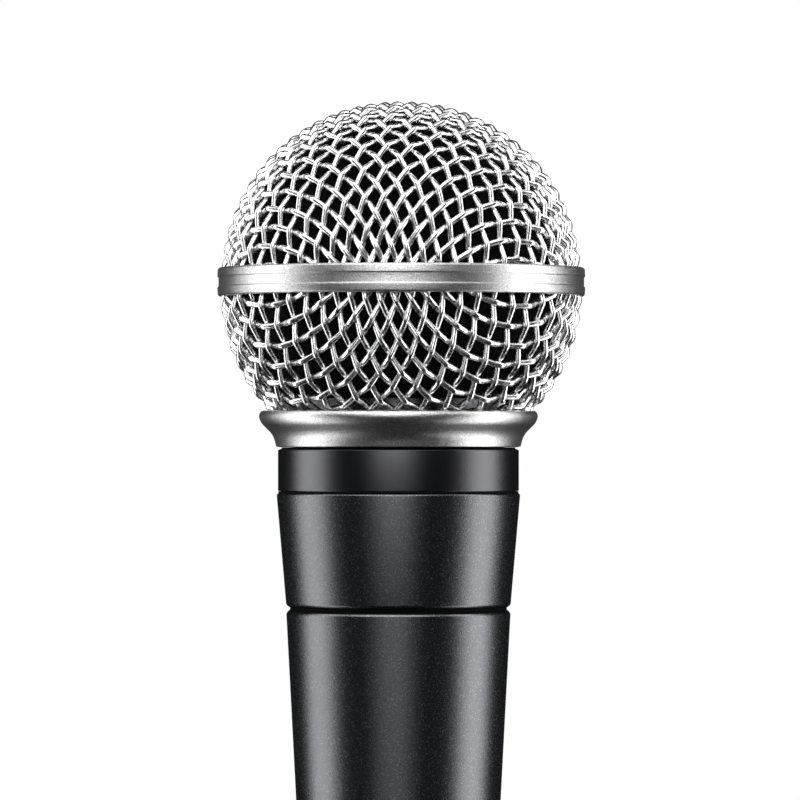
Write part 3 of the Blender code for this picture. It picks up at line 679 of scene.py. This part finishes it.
def make_handle(material, gap_shade_material):
    """The tapered barrel, with the latch notch and the lock screw's hole cut in it."""
    cylinder_top = 14.5 * MM
    thread_bore = SPIGOT_THREAD_ROOT + THREAD_PLAY + THREAD_DEPTH + 0.25 * MM
    outside = rounded([
        (thread_bore, HANDLE_TOP, 0),
        (HANDLE_TOP_RADIUS - 0.45 * MM, HANDLE_TOP, 0.1 * MM),
        (HANDLE_TOP_RADIUS - 0.12 * MM, HANDLE_TOP - 0.32 * MM, 0),
        (HANDLE_TOP_RADIUS + 0.01 * MM, HANDLE_TOP - 0.6 * MM, 0.15 * MM),
        (HANDLE_END_RADIUS, cylinder_top, 3.0 * MM),
        (HANDLE_END_RADIUS, 0.0, 0.5 * MM),
        (SOCKET_RADIUS, 0.0, 0.4 * MM),
        (SOCKET_RADIUS, 25.0 * MM, 0),
        (SOCKET_RADIUS + 1.0 * MM, 26.0 * MM, 0),
        (SPIGOT_THREAD_ROOT - 0.5 * MM, HOUSING_LOW.z - 2 * GAP, 0),
    ])
    thread = female_thread(SPIGOT_THREAD_ROOT, SPIGOT_THREAD_LOW, 4)
    handle = threaded_lathe("handle_shell", [outside, thread])
    notch = bmesh.new()
    size = Matrix.Diagonal((3.0 * MM, 3.0 * MM, 10.0 * MM, 1.0))
    bmesh.ops.create_cube(notch, size=1.0, matrix=Matrix.Translation((0, SOCKET_RADIUS, 0)) @ size)
    cut(handle, notch)
    hole = bmesh.new()
    level = (SCREW_LOW.z + SCREW_HIGH.z) / 2
    place = Matrix.Translation((0, -HANDLE_END_RADIUS, level)) @ Matrix.Rotation(math.radians(90), 4, "X")
    radius = (SCREW_HIGH.x - SCREW_LOW.x) / 2 + GAP
    bmesh.ops.create_cone(
        hole, cap_ends=True, segments=48, radius1=radius, radius2=radius, depth=8 * MM, matrix=place
    )
    cut(handle, hole)
    handle.data.shade_smooth()
    handle.data.set_sharp_from_angle(angle=math.radians(40))
    install(handle, "handle", material, "black_paint", "handle_barrel")
    # Painted shade: the handle's top face inside the groove and the mouth of its thread are matte near-black.
    paint_gap_shade(handle, gap_shade_material, HANDLE_TOP_RADIUS - 0.13 * MM, BALL_LEVEL, HANDLE_TOP - 0.4 * MM)


def make_leads(green, yellow):
    """The two soft wires between the cartridge and the transformer, which stretch when the housing lifts.

    Each one's upper end lies against the flat side of its terminal, so the terminal can slide along it.
    """
    for node, material, side in (("lead_green", green, 1), ("lead_yellow", yellow, -1)):
        low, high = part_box(node)
        lead = bpy.data.objects.new(node + "_wire", frame["nodes"][node].data.copy())
        bpy.context.scene.collection.objects.link(lead)
        lead.data.materials.clear()
        lead.data.materials.append(material)
        lead.data.shade_smooth()
        for vertex in lead.data.vertices:
            share = min(max((vertex.co.z - high.z) / LEAD_END + 1, 0.0), 1.0)
            vertex.co.y += side * LEAD_ASIDE * share
            vertex.co.z += LEAD_OVERLAP * share
        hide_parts(node)
        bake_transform(lead)


# ---------------------------------------------------------------- materials

def new_material(name, color, metallic, roughness):
    """A Principled material, its node tree and its shader."""
    material = bpy.data.materials.new(name)
    material.use_nodes = True
    tree = material.node_tree
    shader = tree.nodes["Principled BSDF"]
    shader.inputs["Base Color"].default_value = (*color, 1.0)
    shader.inputs["Metallic"].default_value = metallic
    shader.inputs["Roughness"].default_value = roughness
    return material, tree, shader


def object_noise(tree, scale, detail=2.0, roughness=0.5):
    coordinates = tree.nodes.new("ShaderNodeTexCoord")
    noise = tree.nodes.new("ShaderNodeTexNoise")
    noise.inputs["Scale"].default_value = scale
    noise.inputs["Detail"].default_value = detail
    noise.inputs["Roughness"].default_value = roughness
    tree.links.new(coordinates.outputs["Object"], noise.inputs["Vector"])
    return noise.outputs["Fac"]


def ramp(tree, value, low, high, low_color, high_color):
    node = tree.nodes.new("ShaderNodeValToRGB")
    node.color_ramp.elements[0].position = low
    node.color_ramp.elements[1].position = high
    node.color_ramp.elements[0].color = (*low_color, 1.0)
    node.color_ramp.elements[1].color = (*high_color, 1.0)
    tree.links.new(value, node.inputs["Fac"])
    return node.outputs["Color"]


def add_bump(tree, shader, height, distance, strength=1.0):
    bump = tree.nodes.new("ShaderNodeBump")
    bump.inputs["Strength"].default_value = strength
    bump.inputs["Distance"].default_value = distance
    tree.links.new(height, bump.inputs["Height"])
    tree.links.new(bump.outputs["Normal"], shader.inputs["Normal"])


def grey(value):
    return (value, value, value)


def wire_material():
    """Bright plated wire, with faint drawing marks and specks of wear."""
    material, tree, shader = new_material("plated_wire", grey(0.9), 1.0, 0.12)
    worn = ramp(tree, object_noise(tree, 900, 3), 0.35, 0.7, grey(0.85), grey(0.98))
    tree.links.new(worn, shader.inputs["Base Color"])
    rough = ramp(tree, object_noise(tree, 1500, 2), 0.3, 0.75, grey(0.2), grey(0.34))
    tree.links.new(rough, shader.inputs["Roughness"])
    add_bump(tree, shader, object_noise(tree, 2500, 2), 0.02 * MM, 0.5)
    return material


def nickel_material():
    """Bead-blasted nickel with a fine bright grain."""
    material, tree, shader = new_material("blasted_nickel", grey(0.62), 1.0, 0.3)
    tone = ramp(tree, object_noise(tree, 6000, 1), 0.3, 0.7, grey(0.4), grey(0.8))
    tree.links.new(tone, shader.inputs["Base Color"])
    add_bump(tree, shader, object_noise(tree, 5000, 2, 0.7), 0.05 * MM)
    return material


def black_gloss(name, specular):
    """The near-black base of the enamel and of the ring's lacquer, with a fine grain."""
    material, tree, shader = new_material(name, NEAR_BLACK, 0.0, 0.25)
    shader.inputs["Specular IOR Level"].default_value = specular
    shader.inputs["IOR"].default_value = 1.7
    shader.inputs["Specular Tint"].default_value = (0.94, 0.95, 1.0, 1.0)
    add_bump(tree, shader, object_noise(tree, 7000, 2, 0.7), 0.03 * MM, 0.7)
    return material, tree, shader


def enamel_material():
    """Near-black enamel with fine metallic flecks over a small share of it."""
    material, tree, shader = black_gloss("handle_enamel", 0.8)
    coordinates = tree.nodes.new("ShaderNodeTexCoord")
    cells = tree.nodes.new("ShaderNodeTexVoronoi")
    cells.inputs["Scale"].default_value = 11000
    tree.links.new(coordinates.outputs["Object"], cells.inputs["Vector"])
    split = tree.nodes.new("ShaderNodeSeparateColor")
    tree.links.new(cells.outputs["Color"], split.inputs["Color"])
    edge = (0.98 - FLECK_SHARE, 1 - FLECK_SHARE)
    metallic = ramp(tree, split.outputs["Red"], *edge, grey(0), grey(1))
    tree.links.new(metallic, shader.inputs["Metallic"])
    tint = ramp(tree, split.outputs["Red"], *edge, NEAR_BLACK, (0.2, 0.22, 0.24))
    tree.links.new(tint, shader.inputs["Base Color"])
    rough = ramp(tree, split.outputs["Red"], *edge, grey(0.25), grey(0.3))
    tree.links.new(rough, shader.inputs["Roughness"])
    return material


def lacquer_material():
    """The ring's near-black lacquer, which has no flecks."""
    material, _, _ = black_gloss("ring_lacquer", 0.6)
    return material


def foam_material():
    material, tree, shader = new_material("open_foam", grey(0.003), 0.0, 1.0)
    shader.inputs["Specular IOR Level"].default_value = 0.1
    pits = ramp(tree, object_noise(tree, 1800, 3), 0.4, 0.6, grey(0.0005), grey(0.004))
    tree.links.new(pits, shader.inputs["Base Color"])
    add_bump(tree, shader, object_noise(tree, 2200, 3), 0.3 * MM)
    return material


def plain_material(name, color, metallic, roughness, grain=1500, specular=0.5):
    """A procedural finish for the inner pieces: slight tone and roughness changes over a fine grain."""
    material, tree, shader = new_material(name, color, metallic, roughness)
    shader.inputs["Specular IOR Level"].default_value = specular
    darker = tuple(channel * 0.8 for channel in color)
    tone = ramp(tree, object_noise(tree, grain / 4, 3), 0.3, 0.7, darker, color)
    tree.links.new(tone, shader.inputs["Base Color"])
    rough = ramp(tree, object_noise(tree, grain, 2), 0.3, 0.7, grey(roughness * 0.85), grey(roughness * 1.15))
    tree.links.new(rough, shader.inputs["Roughness"])
    add_bump(tree, shader, object_noise(tree, grain, 2), 0.03 * MM, 0.4)
    return material


def dress_inner_nodes(finishes):
    """Gives every CAD node that still shows the finish of its slot."""
    slots = {entry["node"]: entry["material_slot"] for entry in frame["record"]["subparts"]}
    for name, node in frame["nodes"].items():
        if node.hide_render:
            continue
        for slot in node.material_slots:
            slot.material = finishes[slots[name]]


# ---------------------------------------------------------------- studio

def make_camera():
    data = bpy.data.cameras.new("camera")
    data.sensor_width = 36
    data.lens = CAMERA_LENS
    data.clip_start = 0.05
    data.clip_end = 20
    camera = bpy.data.objects.new("camera", data)
    bpy.context.scene.collection.objects.link(camera)
    camera.location = (0, -CAMERA_DISTANCE, CAMERA_LEVEL)
    camera.rotation_mode = "QUATERNION"
    camera.rotation_quaternion = (Vector(AIM) - camera.location).to_track_quat("-Z", "Y")
    bpy.context.scene.camera = camera


def make_panel(name, place, target, size, radiance):
    """A rectangular soft light that faces its target."""
    data = bpy.data.lights.new(name, "AREA")
    data.shape = "RECTANGLE"
    data.size, data.size_y = size
    data.energy = radiance * math.pi * size[0] * size[1]
    light = bpy.data.objects.new(name, data)
    bpy.context.scene.collection.objects.link(light)
    light.location = place
    light.rotation_mode = "QUATERNION"
    light.rotation_quaternion = (Vector(target) - Vector(place)).to_track_quat("-Z", "Y")
    light.visible_camera = False
    return light


def floor_material():
    """Pale under the object, and as white as the background further off."""
    material, tree, shader = new_material("pale_floor", grey(0.9), 0.0, 0.7)
    shader.inputs["Specular IOR Level"].default_value = 0.0
    shader.inputs["Emission Strength"].default_value = 1.0
    coordinates = tree.nodes.new("ShaderNodeTexCoord")
    distance = tree.nodes.new("ShaderNodeVectorMath")
    distance.operation = "LENGTH"
    tree.links.new(coordinates.outputs["Object"], distance.inputs[0])
    for socket, near, far in (("Base Color", 0.9, 0.0), ("Emission Color", 0.0, 1.0)):
        tone = ramp(tree, distance.outputs["Value"], 0.08, 0.4, grey(near), grey(far))
        tree.links.new(tone, shader.inputs[socket])
    return material


def make_panels():
    """Tall panels at both sides, low and high ones in front, and two overhead."""
    middle = (0, 0, 0.11)
    make_panel("left_panel", (-0.62, 0.03, 0.1), (0, 0.03, 0.1), (0.4, 1.6), 2.8)
    make_panel("right_panel", (0.62, -0.02, 0.1), (0, -0.02, 0.1), (0.4, 1.6), 3.3)
    make_panel("front_panel", (-0.12, -1.3, 0.025), (-0.12, 0, 0.025), (0.8, 0.45), 0.75)
    make_panel("upper_front_panel", (-0.12, -1.3, 0.6), (-0.12, 0, 0.6), (0.8, 0.7), 2.9)
    make_panel("high_panel", (-0.1, -0.6, 0.95), middle, (1.3, 0.55), 3.5)
    make_panel("top_panel", (0, -0.1, 0.98), middle, (0.9, 0.4), 1.2)


def make_floor():
    """A thin disc, which neither shows in the nickel nor shades it."""
    outline = [(0.0, 0.0), (FLOOR_RADIUS, 0.0), (FLOOR_RADIUS, -FLOOR_THICKNESS), (0.0, -FLOOR_THICKNESS)]
    floor = lathe("floor", outline, 128)
    floor.data.materials.append(floor_material())
    floor.visible_glossy = False
    floor.visible_shadow = False


def make_world():
    """A white background that gives the object only a dim light."""
    world = bpy.data.worlds.new("studio_world")
    bpy.context.scene.world = world
    world.use_nodes = True
    nodes, links = world.node_tree.nodes, world.node_tree.links
    nodes.clear()
    output = nodes.new("ShaderNodeOutputWorld")
    mix = nodes.new("ShaderNodeMixShader")
    path = nodes.new("ShaderNodeLightPath")
    dim, white = nodes.new("ShaderNodeBackground"), nodes.new("ShaderNodeBackground")
    dim.inputs["Color"].default_value = (0.01, 0.01, 0.01, 1)
    white.inputs["Color"].default_value = (1, 1, 1, 1)
    links.new(path.outputs["Is Camera Ray"], mix.inputs["Fac"])
    links.new(dim.outputs[0], mix.inputs[1])
    links.new(white.outputs[0], mix.inputs[2])
    links.new(mix.outputs[0], output.inputs["Surface"])
    bpy.context.scene.view_settings.view_transform = "Standard"


def main():
    make_camera()
    make_panels()
    make_floor()
    make_world()
    nickel = nickel_material()
    enamel = enamel_material()
    finishes = {
        "steel": plain_material("turned_steel", grey(0.55), 1.0, 0.32),
        "black_plastic": plain_material("moulded_plastic", grey(0.02), 0.0, 0.5),
        "rubber": plain_material("soft_rubber", grey(0.015), 0.0, 0.8),
        "silk": plain_material("woven_silk", grey(0.3), 0.0, 0.85, 4000),
        "magnet_alloy": plain_material("magnet_alloy", (0.42, 0.42, 0.44), 1.0, 0.45),
        "film": plain_material("pressed_film", (0.75, 0.72, 0.62), 0.0, 0.3),
        "copper": plain_material("copper_winding", (0.8, 0.42, 0.25), 1.0, 0.3, 5000),
        "brass": plain_material("gold_plate", (0.85, 0.66, 0.33), 1.0, 0.22),
        "green_insulation": plain_material("green_lead", (0.04, 0.35, 0.1), 0.0, 0.45),
        "yellow_insulation": plain_material("yellow_lead", (0.8, 0.62, 0.06), 0.0, 0.45),
        "black_insulation": plain_material("black_lead", grey(0.03), 0.0, 0.45),
        "amber_potting": plain_material("amber_potting", (0.55, 0.36, 0.14), 0.0, 0.35),
    }
    make_grille_mesh(wire_material())
    make_band(nickel)
    make_collar(nickel)
    make_foam(foam_material())
    # A matte near-black painted shade for the groove, the gaps between parts and the hollows behind them.
    gap_shade_finish = plain_material("painted_gap_shade", grey(0.002), 0.0, 0.8, specular=0.05)
    make_housing(enamel, gap_shade_finish)
    make_ring(lacquer_material(), gap_shade_finish)
    make_handle(enamel, gap_shade_finish)
    make_leads(finishes["green_insulation"], finishes["yellow_insulation"])
    dress_inner_nodes(finishes)


main()
